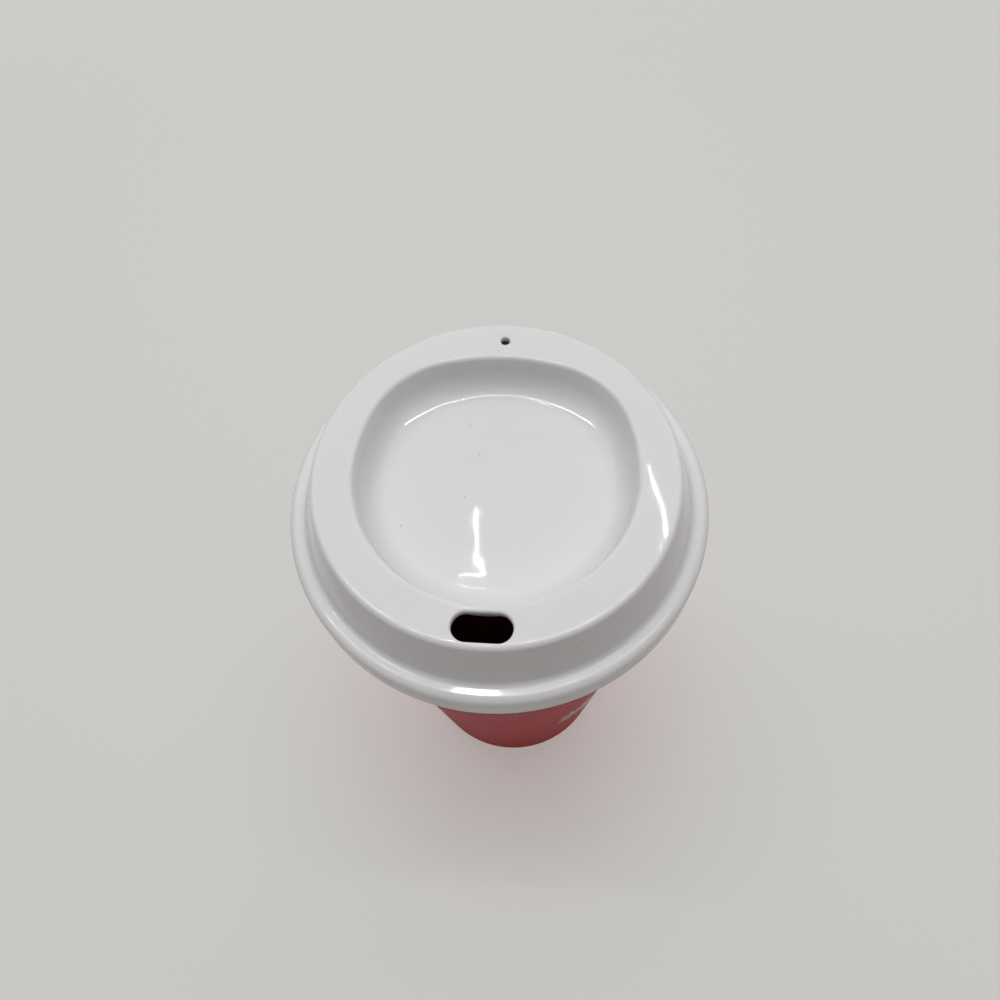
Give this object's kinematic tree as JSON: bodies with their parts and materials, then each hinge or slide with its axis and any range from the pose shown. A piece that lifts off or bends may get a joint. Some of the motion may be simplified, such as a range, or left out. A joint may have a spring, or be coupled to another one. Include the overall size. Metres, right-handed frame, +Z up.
{
  "type": "reusable coffee cup",
  "caption": "Tapered reusable coffee cup in moulded plastic, with a press-on lid that has a raised crown, a recess, a sip hole and a vent hole.",
  "frame": {"origin": "centre of the foot ring, on the table", "axes": "+Z up along the cup's axis; the sip hole is on the -Y side of the lid and the vent hole on the +Y side"},
  "size_m": [0.096, 0.096, 0.1489],
  "materials": {
    "cup": "glossy red moulded polypropylene",
    "lid": "glossy white moulded polypropylene",
    "print": "white screen-printed ink"
  },
  "bodies": {
    "cup": {"cup": "cup", "snow_print": "print"},
    "lid": {"lid": "lid"}
  },
  "joints": [
    {"name": "lid_lift", "type": "slide", "parent": "cup", "child": "lid", "axis": [0, 0, 1], "range_m": [0, 0.05]}
  ]
}
